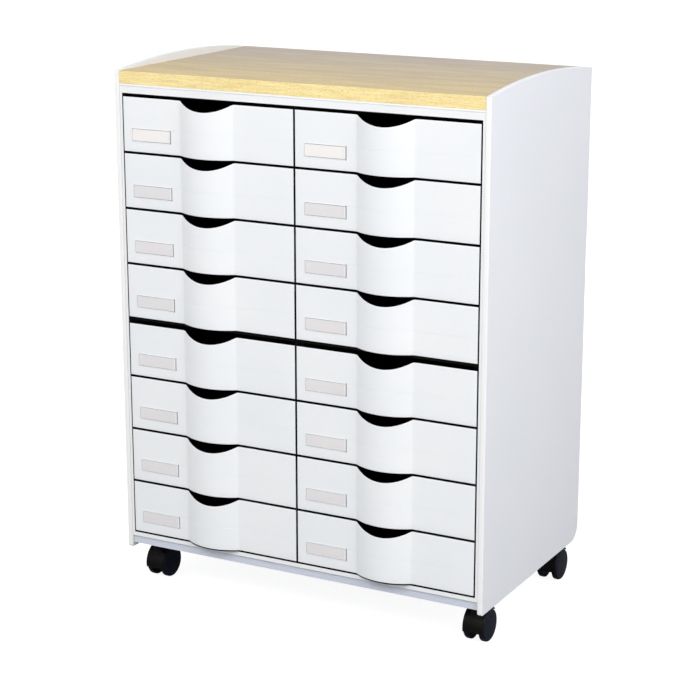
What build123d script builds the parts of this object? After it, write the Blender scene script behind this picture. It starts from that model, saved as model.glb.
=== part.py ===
from build123d import *

import math
import os

# A mobile drawer cabinet: two columns of eight drawers between white side panels, under a
# wood board, on four twin-wheel casters. Millimetres. The drawers face -Y and +Z is up.
# The origin is on the floor, under the middle of the whole cabinet.

# Drawer front: two flat wings with a bowed middle, and a finger notch in its top edge
front_width = 292.65
front_height = 82.65
front_thickness = 3.0
front_edge_round = 0.7
bow_width = 91.0
bow_rise = 15.0
bow_floor_thickness = 2.0
notch_depth = 13.0

# Label pocket at the left of each front, open at its right end
label_width = 68.0
label_height = 20.7
label_from_left = 14.0
label_from_bottom = 15.2
pocket_rim_width = 1.0
pocket_rim_height = 0.8
pocket_slot_width = 1.4
pocket_slot_depth = 0.8

# Fine line moulded across the front, level with the top of the label
line_height = 0.7
line_depth = 0.4
line_end_inset = 12.0

# Snap tabs that hold the front on the tray
tab_width = 12.0
tab_height = 3.0
tab_spacing = 200.0
tab_levels = (18.0, 50.0)
tab_clearance = 0.1

# Visible gaps around the fronts
front_gap = 3.0
centre_gap = 2.7
side_gap = 2.0
under_front_gap = 2.9
over_front_gap = 7.1

# Tray behind the front
tray_wall = 1.8
tray_floor = 1.8
tray_lift = 1.4
tray_top_inset = 1.0
tray_front_wall_height = 58.0
tray_back_wall_height = 66.0
tray_side_clearance = 0.75
tray_rear_clearance = 2.5
drawer_travel = 260.0

# Stop rib under the tray, which meets the housing's front rail at full travel
stop_rib_height = 2.0
stop_rib_thickness = 3.0
stop_clearance = 0.4

# Drawer housing: a moulded case for four drawers, open at the front
drawers_per_housing = 4
housing_wall = 2.0
housing_setback = 8.0
housing_clearance = 0.3
housing_rear_clearance = 0.5
ledge_width = 8.0
ledge_thickness = 2.4
runner_clearance = 0.3
tip_clearance = 1.7
front_rail_depth = 6.0

# White sleeve round the four housings
sleeve_wall = 3.8
sleeve_floor = 6.1
sleeve_roof = 11.4
sleeve_setback = 1.0
sleeve_lip_height = 2.3
stack_clearance = 0.1
roof_line_below_top = 3.3
roof_line_height = 0.8
roof_line_depth = 0.8

# Wood board, base board and back panel
wood_thickness = 19.0
wood_setback = 0.5
wood_edge_round = 0.5
base_board_thickness = 13.2
base_board_setback = 4.0
back_panel_thickness = 3.0
back_panel_recess = 1.0
board_gap = 0.2

# Side panels
panel_thickness = 8.0
panel_depth = 372.0
panel_drop = 7.0
panel_arc_rise = 12.0
panel_rear_corner = 25.0
panel_front_corner = 4.0
panel_edge_round = 1.0

# Flat head screws
screw_length = 11.0
screw_radius = 1.75
screw_head_radius = 3.4
screw_head_height = 1.8
screw_tip_height = 2.0
screw_slot_length = 3.6
screw_slot_width = 0.9
screw_slot_depth = 1.0
screw_clearance = 0.05
side_screw_rows = 2
side_screw_columns = 3
back_screw_columns = 4
top_screw_columns = 2
screw_edge_distance = 60.0
top_screw_grip = 3.0
top_screw_bore_radius = 4.0

# Casters
caster_height = 69.0
caster_side_inset = 28.5
caster_end_inset = 45.5
caster_trail = 12.0
plate_size = 38.0
plate_thickness = 2.5
plate_corner = 4.0
plate_hole_spacing = 27.0
kingpin_radius = 4.0
kingpin_length = 38.0
kingpin_fit = 0.02
swivel_gap = 0.3
pin_clearance = 0.08
hood_radius = 28.0
hood_thickness = 2.0
hood_width = 33.0
hood_lip_height = 19.0
hood_rear_angle = 50.0
hood_edge_round = 1.2
axle_boss_radius = 8.0
neck_radius = 10.0
neck_flange_radius = 14.0
neck_flange_height = 4.0
neck_flange_chamfer = 1.5
wheel_radius = 25.0
wheel_width = 9.0
wheel_spacing = 25.6
wheel_side_gap = 0.6
wheel_dome = 0.8
wheel_outer_shoulder = 3.0
wheel_inner_shoulder = 1.2
axle_radius = 3.0
axle_end_chamfer = 0.4
axle_fit = 0.02
wheel_bore_clearance = 0.06
wheel_cap_thickness = 1.6
axle_end_gap = 0.3

# Places worked out from the sizes above
front_plane = -(panel_depth - bow_rise) / 2
rear_plane = front_plane + panel_depth
front_pitch = front_height + front_gap
front_centre = (centre_gap + front_width) / 2
housing_width = 2 * front_centre - housing_clearance
housing_height = under_front_gap + drawers_per_housing * front_pitch - front_gap + over_front_gap
sleeve_inner_half = front_centre + front_width / 2 + side_gap
sleeve_outer_half = sleeve_inner_half + sleeve_wall
panel_inner_half = sleeve_outer_half + board_gap
sleeve_front = front_plane + sleeve_setback
sleeve_rear = rear_plane - back_panel_recess - back_panel_thickness
housing_front = front_plane + housing_setback
housing_depth = sleeve_rear - housing_rear_clearance - housing_front
base_board_bottom = caster_height
base_board_top = base_board_bottom + base_board_thickness
housing_floor = base_board_top + sleeve_floor
sleeve_inner_top = housing_floor + 2 * housing_height + stack_clearance
sleeve_top = sleeve_inner_top + sleeve_roof
wood_top = sleeve_top + wood_thickness
panel_bottom = base_board_bottom - panel_drop
housing_levels = {"lower": housing_floor, "upper": housing_floor + housing_height}
column_centres = {"left": -front_centre, "right": front_centre}

os.makedirs("parts", exist_ok=True)


def save(piece, node):
    """Label a finished piece with its node's name and write it."""
    piece.label = node
    export_step(piece, f"parts/{node}.step")


def save_copy(source, node, place):
    """Write a copy of a piece that was modelled once, standing at its own place."""
    with BuildPart() as copy:
        with Locations(place):
            add(source)
    save(copy.part, node)


# Drawer front, modelled with x = 0 in its middle, y = 0 on its flat face, z = 0 at its foot
bow_radius = ((bow_width / 2) ** 2 + bow_rise**2) / (2 * bow_rise)


def bow_half_width(depth):
    """Half the bow's chord on a line that runs at a depth behind the front face."""
    return math.sqrt((bow_radius - depth) ** 2 - (bow_radius - bow_rise - depth) ** 2)


def front_line(depth, left, right):
    """Plan line of the front from left to right, at a depth behind its face."""
    half = bow_half_width(depth)
    Line((left, depth), (-half, depth))
    ThreePointArc((-half, depth), (0, depth - bow_rise), (half, depth))
    Line((half, depth), (right, depth))


def front_band(near, far, left, right):
    """Closed outline between two plan lines of the front, at two depths behind its face."""
    front_line(near, left, right)
    front_line(far, left, right)
    Line((left, near), (left, far))
    Line((right, near), (right, far))


half_front = front_width / 2
label_left = -half_front + label_from_left
label_right = label_left + label_width
label_top = label_from_bottom + label_height
notch_radius = ((bow_width / 2) ** 2 + notch_depth**2) / (2 * notch_depth)
notch_centre = front_height - notch_depth + notch_radius
tab_x = tab_spacing / 2

with BuildPart() as front:
    with BuildSketch(Plane.XY):
        with BuildLine():
            front_band(0, front_thickness, -half_front, half_front)
        make_face()
    extrude(amount=front_height)

    # The rim is rounded all round the outward face, but the creases beside the bow stay sharp
    skin = front.faces().filter_by(lambda face: face.normal_at().Y < -0.5)
    creases = skin.edges().filter_by(Axis.Z).filter_by(lambda edge: abs(edge.center().X) < bow_width)
    rim = [edge for edge in skin.edges() if edge not in creases]
    fillet(rim, radius=front_edge_round)

    with BuildSketch(Plane.XZ.offset(-bow_radius)):
        with Locations((0, notch_centre)):
            Circle(notch_radius)
    extrude(amount=2 * bow_radius, mode=Mode.SUBTRACT)

    # Floor of the hollow behind the bow
    with BuildSketch(Plane.XY):
        with BuildLine():
            inner_half = bow_half_width(front_thickness)
            ThreePointArc((-inner_half, front_thickness), (0, front_thickness - bow_rise),
                          (inner_half, front_thickness))
            Line((inner_half, front_thickness), (-inner_half, front_thickness))
        make_face()
    extrude(amount=bow_floor_thickness)

    # Fine line across the front
    with BuildSketch(Plane.XY.offset(label_top - line_height / 2)):
        with BuildLine():
            front_band(-line_depth, line_depth, label_right + 2 * pocket_slot_width,
                       half_front - line_end_inset)
        make_face()
    extrude(amount=line_height, mode=Mode.SUBTRACT)

    # Raised rim of the label pocket along its top, left end and foot
    with BuildSketch(Plane.XZ):
        with Locations((label_left, label_from_bottom)):
            Rectangle(label_width, label_height, align=(Align.MIN, Align.MIN))
        with Locations((label_left + pocket_rim_width, label_from_bottom + pocket_rim_width)):
            Rectangle(label_width, label_height - 2 * pocket_rim_width,
                      align=(Align.MIN, Align.MIN), mode=Mode.SUBTRACT)
    extrude(amount=pocket_rim_height)

    # Slot at the pocket's open end, for a fingernail under the card
    with BuildSketch(Plane.XZ):
        with Locations((label_right, label_from_bottom)):
            Rectangle(pocket_slot_width, label_height, align=(Align.MIN, Align.MIN))
    extrude(amount=-pocket_slot_depth, mode=Mode.SUBTRACT)

    # Snap tabs that go through the tray's front wall
    with BuildSketch(Plane.XZ.offset(-front_thickness)):
        with Locations(*[(x, z) for x in (-tab_x, tab_x) for z in tab_levels]):
            Rectangle(tab_width, tab_height)
    extrude(amount=-tray_wall)

# Tray, in the same frame as its front
housing_inner_width = housing_width - 2 * housing_wall
tray_width = housing_inner_width - 2 * tray_side_clearance
tray_front = front_thickness
tray_rear = housing_setback + housing_depth - housing_wall - tray_rear_clearance
tray_length = tray_rear - tray_front
tray_wall_height = front_height - tray_top_inset - tray_lift
tray_inner_width = tray_width - 2 * tray_wall
stop_rib_width = housing_inner_width - 2 * ledge_width - 2 * front_rail_depth
stop_rib_front = housing_setback + front_rail_depth + drawer_travel + stop_clearance

with BuildPart() as tray:
    with BuildSketch(Plane.XY.offset(tray_lift)):
        with Locations((0, tray_front)):
            Rectangle(tray_width, tray_length, align=(Align.CENTER, Align.MIN))
    extrude(amount=tray_wall_height)
    with BuildSketch(Plane.XY.offset(tray_lift + tray_floor)):
        with Locations((0, tray_front + tray_wall)):
            Rectangle(tray_inner_width, tray_length - 2 * tray_wall, align=(Align.CENTER, Align.MIN))
    extrude(amount=tray_wall_height, mode=Mode.SUBTRACT)

    # The front and back walls are lower than the side walls
    with BuildSketch(Plane.XY.offset(tray_lift + tray_front_wall_height)):
        with Locations((0, tray_front)):
            Rectangle(tray_inner_width, tray_wall, align=(Align.CENTER, Align.MIN))
    extrude(amount=tray_wall_height, mode=Mode.SUBTRACT)
    with BuildSketch(Plane.XY.offset(tray_lift + tray_back_wall_height)):
        with Locations((0, tray_rear)):
            Rectangle(tray_inner_width, tray_wall, align=(Align.CENTER, Align.MAX))
    extrude(amount=tray_wall_height, mode=Mode.SUBTRACT)

    # Windows for the front's snap tabs
    with BuildSketch(Plane.XZ.offset(-tray_front)):
        with Locations(*[(x, z) for x in (-tab_x, tab_x) for z in tab_levels]):
            Rectangle(tab_width + 2 * tab_clearance, tab_height + 2 * tab_clearance)
    extrude(amount=-tray_wall, mode=Mode.SUBTRACT)

    with BuildSketch(Plane.XY.offset(tray_lift)):
        with Locations((0, stop_rib_front)):
            Rectangle(stop_rib_width, stop_rib_thickness, align=(Align.CENTER, Align.MIN))
    extrude(amount=-stop_rib_height)

# Drawer housing, modelled with x = 0 in its middle, y = 0 at its front, z = 0 at its foot
half_inner = housing_inner_width / 2
ledge_top = under_front_gap + tray_lift - runner_clearance
tray_top = under_front_gap + tray_lift + tray_wall_height
top_tray_top = tray_top + (drawers_per_housing - 1) * front_pitch
hold_down_foot = top_tray_top + tip_clearance
housing_ceiling = housing_height - housing_wall
ledge_middle = half_inner - ledge_width / 2

with BuildPart() as housing:
    with BuildSketch(Plane.XZ):
        Rectangle(housing_width, housing_height, align=(Align.CENTER, Align.MIN))
    extrude(amount=-housing_depth)
    with BuildSketch(Plane.XZ):
        with Locations((0, housing_wall)):
            Rectangle(housing_inner_width, housing_height - 2 * housing_wall,
                      align=(Align.CENTER, Align.MIN))
    extrude(amount=-(housing_depth - housing_wall), mode=Mode.SUBTRACT)

    # Ledges that the trays run on, each with a rail across the front
    for level in range(drawers_per_housing):
        top = ledge_top + level * front_pitch
        foot = max(top - ledge_thickness, housing_wall)
        with BuildSketch(Plane.XZ):
            with Locations((0, foot)):
                Rectangle(housing_inner_width, top - foot, align=(Align.CENTER, Align.MIN))
        extrude(amount=-front_rail_depth)
        with BuildSketch(Plane.XZ):
            with Locations((-ledge_middle, foot), (ledge_middle, foot)):
                Rectangle(ledge_width, top - foot, align=(Align.CENTER, Align.MIN))
        extrude(amount=-(housing_depth - housing_wall))

    # Ribs under the ceiling, which hold the top tray down when it is pulled out
    with BuildSketch(Plane.XZ):
        with Locations((-ledge_middle, hold_down_foot), (ledge_middle, hold_down_foot)):
            Rectangle(ledge_width, housing_ceiling - hold_down_foot, align=(Align.CENTER, Align.MIN))
    extrude(amount=-(housing_depth - housing_wall))


# Screw, modelled with the top of its head at z = 0 and its point downwards
def screw_outline(clearance):
    """Half section of a screw, grown all round by a clearance."""
    shank = screw_radius + clearance
    Polyline(
        (0, 0),
        (screw_head_radius + clearance, 0),
        (shank, -screw_head_height),
        (shank, -(screw_length - screw_tip_height)),
        (0, -(screw_length + clearance)),
        close=True,
    )


with BuildPart() as screw:
    with BuildSketch(Plane.XZ):
        with BuildLine():
            screw_outline(0)
        make_face()
    revolve(axis=Axis.Z)
    with BuildSketch(Plane.XY):
        Rectangle(screw_slot_length, screw_slot_width)
        Rectangle(screw_slot_width, screw_slot_length)
    extrude(amount=-screw_slot_depth, mode=Mode.SUBTRACT)

with BuildPart() as screw_hole:
    with BuildSketch(Plane.XZ):
        with BuildLine():
            screw_outline(screw_clearance)
        make_face()
    revolve(axis=Axis.Z)


def spread(count, span):
    """Evenly spaced places across a span, centred on zero."""
    return [-span / 2 + span * i / (count - 1) for i in range(count)]


# Each screw's place is a plane whose normal points out of its head
board_middle = (front_plane + rear_plane) / 2
plate_under = caster_height - plate_thickness
caster_x = panel_inner_half + panel_thickness - caster_side_inset
caster_ys = {"front": front_plane + caster_end_inset, "rear": rear_plane - caster_end_inset}
caster_places = {
    f"{end}_{side}": (sign * caster_x, caster_ys[end])
    for end in ("front", "rear")
    for side, sign in (("left", -1), ("right", 1))
}
hole_offsets = [(dx, dy) for dx in spread(2, plate_hole_spacing) for dy in spread(2, plate_hole_spacing)]
plate_screws = [
    Plane(origin=(x + dx, y + dy, plate_under), z_dir=(0, 0, -1))
    for x, y in caster_places.values()
    for dx, dy in hole_offsets
]
side_span = sleeve_rear - sleeve_front - 2 * screw_edge_distance
side_rise = sleeve_inner_top - housing_floor - 2 * screw_edge_distance
side_middle = (sleeve_inner_top + housing_floor) / 2
side_screws = [
    Plane(origin=(side * sleeve_inner_half, board_middle + dy, side_middle + dz), z_dir=(-side, 0, 0))
    for side in (-1, 1)
    for dy in spread(side_screw_columns, side_span)
    for dz in spread(side_screw_rows, side_rise)
]
back_span = 2 * (sleeve_outer_half - screw_edge_distance)
back_face = sleeve_rear + back_panel_thickness
back_levels = (base_board_bottom + base_board_thickness / 2, sleeve_top - sleeve_roof / 2)
back_screws = [
    Plane(origin=(x, back_face, z), z_dir=(0, 1, 0))
    for x in spread(back_screw_columns, back_span)
    for z in back_levels
]
top_screws = [
    Plane(origin=(x, board_middle + dy, sleeve_top - top_screw_grip), z_dir=(0, 0, -1))
    for x in spread(top_screw_columns, back_span)
    for dy in spread(top_screw_columns, side_span)
]


def drill(planes):
    """Cut screw holes in the piece that is being made."""
    with Locations(*[plane.location for plane in planes]):
        add(screw_hole.part, mode=Mode.SUBTRACT)


with BuildPart() as screws:
    with Locations(*[plane.location for plane in plate_screws + side_screws + back_screws + top_screws]):
        add(screw.part)
save(screws.part, "flat_head_screws")

# Side panels: a shallow arc along the top and rounded lower corners
for side, sign in (("left", -1), ("right", 1)):
    with BuildPart() as panel:
        with BuildSketch(Plane.YZ.offset(sign * panel_inner_half)) as outline:
            with BuildLine():
                Line((front_plane, panel_bottom), (rear_plane, panel_bottom))
                Line((rear_plane, panel_bottom), (rear_plane, wood_top))
                ThreePointArc((rear_plane, wood_top), (board_middle, wood_top + panel_arc_rise),
                              (front_plane, wood_top))
                Line((front_plane, wood_top), (front_plane, panel_bottom))
            make_face()
            # A sketch is drawn in its own plane, so here X runs along the depth and Y runs up
            fillet(outline.vertices().group_by(Axis.Y)[0].sort_by(Axis.X)[-1], radius=panel_rear_corner)
            fillet(outline.vertices().group_by(Axis.Y)[0].sort_by(Axis.X)[0], radius=panel_front_corner)
        extrude(amount=sign * panel_thickness)
        flanks = panel.faces().filter_by(Axis.X)
        fillet(flanks.edges(), radius=panel_edge_round)
        drill(side_screws)
    save(panel.part, f"side_panel_{side}")

# White sleeve: four walls round the housings, with a lip and a fine line above the drawers
sleeve_length = sleeve_rear - sleeve_front
with BuildPart() as sleeve:
    with BuildSketch(Plane.XZ.offset(-sleeve_front)):
        with Locations((0, base_board_top)):
            Rectangle(2 * sleeve_outer_half, sleeve_top - base_board_top, align=(Align.CENTER, Align.MIN))
        with Locations((0, housing_floor)):
            Rectangle(2 * sleeve_inner_half, sleeve_inner_top - housing_floor,
                      align=(Align.CENTER, Align.MIN), mode=Mode.SUBTRACT)
    extrude(amount=-sleeve_length)
    with BuildSketch(Plane.XZ.offset(-sleeve_front)):
        with Locations((0, sleeve_inner_top)):
            Rectangle(2 * sleeve_inner_half, sleeve_lip_height, align=(Align.CENTER, Align.MAX))
    extrude(amount=-(housing_setback - sleeve_setback - housing_clearance))
    with BuildSketch(Plane.XZ.offset(-sleeve_front)):
        with Locations((0, sleeve_top - roof_line_below_top)):
            Rectangle(2 * sleeve_outer_half, roof_line_height, align=(Align.CENTER, Align.MAX))
    extrude(amount=-roof_line_depth, mode=Mode.SUBTRACT)
    drill(side_screws + back_screws + top_screws)
    with Locations(*[plane.location for plane in top_screws]):
        Cylinder(top_screw_bore_radius, sleeve_roof - top_screw_grip,
                 align=(Align.CENTER, Align.CENTER, Align.MIN), mode=Mode.SUBTRACT)
save(sleeve.part, "carcass_sleeve")

# Wood board on top, between the side panels
with BuildPart() as wood:
    with BuildSketch(Plane.XY.offset(sleeve_top)):
        with Locations((0, front_plane + wood_setback)):
            Rectangle(2 * sleeve_outer_half, panel_depth - 2 * wood_setback,
                      align=(Align.CENTER, Align.MIN))
    extrude(amount=wood_thickness)
    fillet(wood.edges().filter_by(Axis.X), radius=wood_edge_round)
    drill(top_screws)
save(wood.part, "wood_top_board")

# Base board, which carries the casters
with BuildPart() as base:
    with BuildSketch(Plane.XY.offset(base_board_bottom)):
        with Locations((0, front_plane + base_board_setback)):
            Rectangle(2 * sleeve_outer_half, sleeve_rear - front_plane - base_board_setback,
                      align=(Align.CENTER, Align.MIN))
    extrude(amount=base_board_thickness)
    drill(plate_screws + back_screws)
save(base.part, "base_board")

# Back panel, set in between the side panels
with BuildPart() as back:
    with BuildSketch(Plane.XZ.offset(-sleeve_rear)):
        with Locations((0, base_board_bottom)):
            Rectangle(2 * sleeve_outer_half, sleeve_top - base_board_bottom,
                      align=(Align.CENTER, Align.MIN))
    extrude(amount=-back_panel_thickness)
    drill(back_screws)
save(back.part, "back_panel")

# Caster plate and the kingpin riveted in it, modelled about the swivel axis
axle = (0, caster_trail, wheel_radius)
web_half = (wheel_spacing - wheel_width) / 2 - wheel_side_gap
hood_top = plate_under - swivel_gap
kingpin_foot = plate_under - kingpin_length

with BuildPart() as plate:
    with BuildSketch(Plane.XY.offset(plate_under)) as plate_outline:
        Rectangle(plate_size, plate_size)
        fillet(plate_outline.vertices(), radius=plate_corner)
        Circle(kingpin_radius + kingpin_fit, mode=Mode.SUBTRACT)
    extrude(amount=plate_thickness)
    plate_planes = [Plane(origin=(dx, dy, plate_under), z_dir=(0, 0, -1)) for dx, dy in hole_offsets]
    drill(plate_planes)

with BuildPart() as kingpin:
    with BuildSketch(Plane.XY.offset(caster_height)):
        Circle(kingpin_radius)
    extrude(amount=-(plate_thickness + kingpin_length))

with BuildPart() as plates:
    with Locations(*[(x, y, 0) for x, y in caster_places.values()]):
        add(plate.part)
        add(kingpin.part)
save(plates.part, "caster_plates")

# Caster hood: a web between the wheels, an arch over them and a neck up to the plate
lip_drop = wheel_radius - hood_lip_height
lip_y = caster_trail - math.sqrt(hood_radius**2 - lip_drop**2)
rear_y = caster_trail + hood_radius * math.cos(math.radians(hood_rear_angle))
rear_z = wheel_radius + hood_radius * math.sin(math.radians(hood_rear_angle))
with BuildPart() as hood:
    with BuildSketch(Plane.YZ):
        with BuildLine():
            ThreePointArc((lip_y, hood_lip_height), (caster_trail, wheel_radius + hood_radius),
                          (rear_y, rear_z))
            Line((rear_y, rear_z), (caster_trail + axle_boss_radius, hood_lip_height))
            Line((caster_trail + axle_boss_radius, hood_lip_height), (lip_y, hood_lip_height))
        make_face()
    extrude(amount=hood_width / 2, both=True)
    arch_ends = hood.edges().filter_by(GeomType.CIRCLE)
    fillet(arch_ends, radius=hood_edge_round)
    with BuildSketch(Plane.XY.offset(wheel_radius)):
        Circle(neck_radius)
    extrude(amount=hood_top - wheel_radius)
    with BuildSketch(Plane.XY.offset(hood_top - neck_flange_height)):
        Circle(neck_flange_radius)
    extrude(amount=neck_flange_height)
    flange_feet = hood.edges(Select.LAST).filter_by(GeomType.CIRCLE).group_by(Axis.Z)[0]
    chamfer(flange_feet.sort_by(SortBy.RADIUS)[-1], length=neck_flange_chamfer)

    # Pockets for the wheels, then the bores for the kingpin and the axle
    for side in (-1, 1):
        with BuildSketch(Plane.YZ.offset(side * web_half)):
            with Locations((caster_trail, wheel_radius)):
                Circle(hood_radius - hood_thickness)
        extrude(amount=side * hood_width, mode=Mode.SUBTRACT)
    with BuildSketch(Plane.XY.offset(hood_top)):
        Circle(kingpin_radius + pin_clearance)
    extrude(amount=-(hood_top - kingpin_foot + swivel_gap), mode=Mode.SUBTRACT)
    with BuildSketch(Plane.YZ):
        with Locations((caster_trail, wheel_radius)):
            Circle(axle_radius + axle_fit)
    extrude(amount=hood_width, both=True, mode=Mode.SUBTRACT)

# Axle, cut to end inside the wheels' closed caps
wheel_inner_x = (wheel_spacing - wheel_width) / 2
wheel_outer_x = wheel_inner_x + wheel_width
bore_end_x = wheel_outer_x - wheel_cap_thickness
axle_half = bore_end_x - axle_end_gap
with BuildPart() as pin:
    with BuildSketch(Plane.YZ):
        with Locations((caster_trail, wheel_radius)):
            Circle(axle_radius)
    extrude(amount=axle_half, both=True)
    chamfer(pin.edges().filter_by(GeomType.CIRCLE), length=axle_end_chamfer)

# Wheel on the +X side: rounded tread, slightly domed outer face and a blind bore
bore_radius = axle_radius + wheel_bore_clearance
with BuildPart() as wheel:
    with BuildSketch(Plane.XZ.offset(-caster_trail)) as section:
        with BuildLine():
            Line((wheel_inner_x, wheel_radius + bore_radius), (wheel_inner_x, 2 * wheel_radius))
            Line((wheel_inner_x, 2 * wheel_radius), (wheel_outer_x, 2 * wheel_radius))
            Line((wheel_outer_x, 2 * wheel_radius), (wheel_outer_x + wheel_dome, wheel_radius))
            Line((wheel_outer_x + wheel_dome, wheel_radius), (bore_end_x, wheel_radius))
            Line((bore_end_x, wheel_radius), (bore_end_x, wheel_radius + bore_radius))
            Line((bore_end_x, wheel_radius + bore_radius), (wheel_inner_x, wheel_radius + bore_radius))
        make_face()
        tread_corners = section.vertices().group_by(Axis.Y)[-1].sort_by(Axis.X)
        fillet(tread_corners[0], radius=wheel_inner_shoulder)
        fillet(tread_corners[-1], radius=wheel_outer_shoulder)
    revolve(axis=Axis(axle, (1, 0, 0)))

mirrored_wheel = mirror(wheel.part, about=Plane.YZ)
for place, (x, y) in caster_places.items():
    save_copy(hood.part, f"caster_hood_{place}", (x, y, 0))
    save_copy(pin.part, f"caster_axle_{place}", (x, y, 0))
    outer, inner = (wheel.part, mirrored_wheel) if x > 0 else (mirrored_wheel, wheel.part)
    save_copy(outer, f"wheel_{place}_outer", (x, y, 0))
    save_copy(inner, f"wheel_{place}_inner", (x, y, 0))

# Housings and drawers: number 1 is the top drawer of each column
for column, x in column_centres.items():
    for level, z in housing_levels.items():
        save_copy(housing.part, f"housing_{level}_{column}", (x, housing_front, z))
    number = 0
    for level in ("upper", "lower"):
        for row in reversed(range(drawers_per_housing)):
            number += 1
            foot = housing_levels[level] + under_front_gap + row * front_pitch
            save_copy(front.part, f"drawer_front_{column}_{number}", (x, front_plane, foot))
            save_copy(tray.part, f"drawer_tray_{column}_{number}", (x, front_plane, foot))
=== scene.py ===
# %% [markdown]
# A mobile drawer cabinet, dressed for its picture.
# The cabinet was built as a CAD model: white panels, four black drawer housings, sixteen drawers
# and four casters. Here that model is loaded as a fixed frame, and this script gives every surface
# its finish. Pieces whose roundings matter to the eye are made again as smooth surfaces, in the
# very places where the CAD pieces stand. Everything is in metres, with +Z up and the drawers
# facing -Y.

# %% Load the frame
import math

import bmesh
import bpy
import numpy as np
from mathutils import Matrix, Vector


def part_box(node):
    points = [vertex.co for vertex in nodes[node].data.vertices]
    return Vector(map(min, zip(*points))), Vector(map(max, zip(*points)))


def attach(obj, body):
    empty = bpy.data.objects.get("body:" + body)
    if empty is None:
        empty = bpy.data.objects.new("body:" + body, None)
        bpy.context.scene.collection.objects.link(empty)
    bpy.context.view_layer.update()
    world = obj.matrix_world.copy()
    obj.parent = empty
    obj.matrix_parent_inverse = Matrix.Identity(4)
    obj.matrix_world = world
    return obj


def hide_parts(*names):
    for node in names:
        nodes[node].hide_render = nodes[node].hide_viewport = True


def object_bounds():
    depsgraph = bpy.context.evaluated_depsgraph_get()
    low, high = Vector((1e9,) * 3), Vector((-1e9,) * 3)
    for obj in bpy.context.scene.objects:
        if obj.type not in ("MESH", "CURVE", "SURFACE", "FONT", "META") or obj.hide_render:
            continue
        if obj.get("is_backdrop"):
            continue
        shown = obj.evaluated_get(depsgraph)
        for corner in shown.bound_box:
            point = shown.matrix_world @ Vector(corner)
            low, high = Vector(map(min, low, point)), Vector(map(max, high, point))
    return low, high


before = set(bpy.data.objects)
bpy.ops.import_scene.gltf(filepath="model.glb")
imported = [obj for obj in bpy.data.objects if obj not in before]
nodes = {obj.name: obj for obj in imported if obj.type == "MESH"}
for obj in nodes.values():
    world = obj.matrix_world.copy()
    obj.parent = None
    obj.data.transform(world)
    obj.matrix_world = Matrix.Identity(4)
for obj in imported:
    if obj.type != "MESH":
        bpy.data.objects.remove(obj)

mm = 0.001
cad_low, cad_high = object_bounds()
print("CAD box", [round(v, 4) for v in cad_low], [round(v, 4) for v in cad_high])

# %% [markdown]
# The camera comes first, because every later choice is judged through it. The photograph was taken
# from the right, a little above the top board, with a long lens. Its place and lens were found by
# matching the cabinet's corners in the picture. A camera that looks straight at the cabinet, with
# no lens shift, keeps the cabinet in the middle when it is moved round for other views.

# %% Camera
camera_place = Vector((1.3964, -2.6304, 1.1870))
camera_turn = math.radians(28.03)
camera_pitch = math.radians(15.13)
camera_lens = 101.87

camera_data = bpy.data.cameras.new("camera")
camera_data.lens = camera_lens
camera_data.sensor_width = 36
camera = bpy.data.objects.new("camera", camera_data)
camera.location = camera_place
camera.rotation_euler = (math.pi / 2 - camera_pitch, 0, camera_turn)
bpy.context.scene.collection.objects.link(camera)
bpy.context.scene.camera = camera
print("camera looks from", tuple(round(v, 3) for v in camera_place))

# %% [markdown]
# The studio is a white table under soft light. One wide lamp hangs in front, high up and a little
# to the left, so the drawer fronts grow darker towards the floor. Two lamps on the right light the
# side panel and the right flanks of the bowed fronts. A low lamp behind fills the back, from below
# the top board's plane, so that it leaves no glare on the wood. The display is set to Standard, so
# that a white surface in full light comes out white.

# %% Studio
scene = bpy.context.scene
scene.view_settings.view_transform = "Standard"
scene.view_settings.look = "None"


def soft_light(name, place, aim, width, height, power, tint=(1, 1, 1)):
    """A rectangular area light at a place, turned to look at a point."""
    light = bpy.data.lights.new(name, "AREA")
    light.shape = "RECTANGLE"
    light.size = width
    light.size_y = height
    light.energy = power
    light.color = tint
    lamp = bpy.data.objects.new(name, light)
    lamp.location = place
    lamp.rotation_euler = (Vector(aim) - Vector(place)).to_track_quat("-Z", "Y").to_euler()
    scene.collection.objects.link(lamp)
    return lamp


middle = (cad_low + cad_high) / 2
soft_light("front_light", (-0.6, -2.6, 2.4), (0, 0, 0.7), 2.2, 1.2, 40)
soft_light("right_light", (3.2, -0.6, 1.6), middle, 1.8, 1.8, 19)
soft_light("near_light", (2.1, -1.5, 1.7), (0.3, -0.1, 0.6), 1.2, 1.2, 22)
soft_light("back_light", (-0.9, 2.6, 0.42), (-0.1, 0.19, 0.42), 1.6, 0.7, 26)

# %% [markdown]
# The rest of the light comes from the room. A real studio has white walls and a darker ceiling, so
# the world is brightest at the horizon and falls off towards the zenith. The bright horizon also
# gives the top board a pale sheen, because the camera sees the wood at a low angle. The table
# runs far out, and it glows for the camera alone, as a lit tabletop does in a picture on white.

# %% World
world = bpy.data.worlds.new("studio_world")
scene.world = world
world.use_nodes = True
sky = world.node_tree
horizon_light = 0.98
zenith_light = 0.55
direction = sky.nodes.new("ShaderNodeTexCoord")
height = sky.nodes.new("ShaderNodeSeparateXYZ")
fall = sky.nodes.new("ShaderNodeMapRange")
fall.interpolation_type = "SMOOTHERSTEP"
ramp = {"From Min": -0.1, "From Max": 0.9, "To Min": horizon_light, "To Max": zenith_light}
for label, value in ramp.items():
    fall.inputs[label].default_value = value
sky.links.new(direction.outputs["Generated"], height.inputs["Vector"])
sky.links.new(height.outputs["Z"], fall.inputs["Value"])
sky.links.new(fall.outputs["Result"], sky.nodes["Background"].inputs["Strength"])
sky.nodes["Background"].inputs["Color"].default_value = (0.97, 0.985, 1.0, 1)
print("room light falls from", horizon_light, "to", zenith_light)

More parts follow.
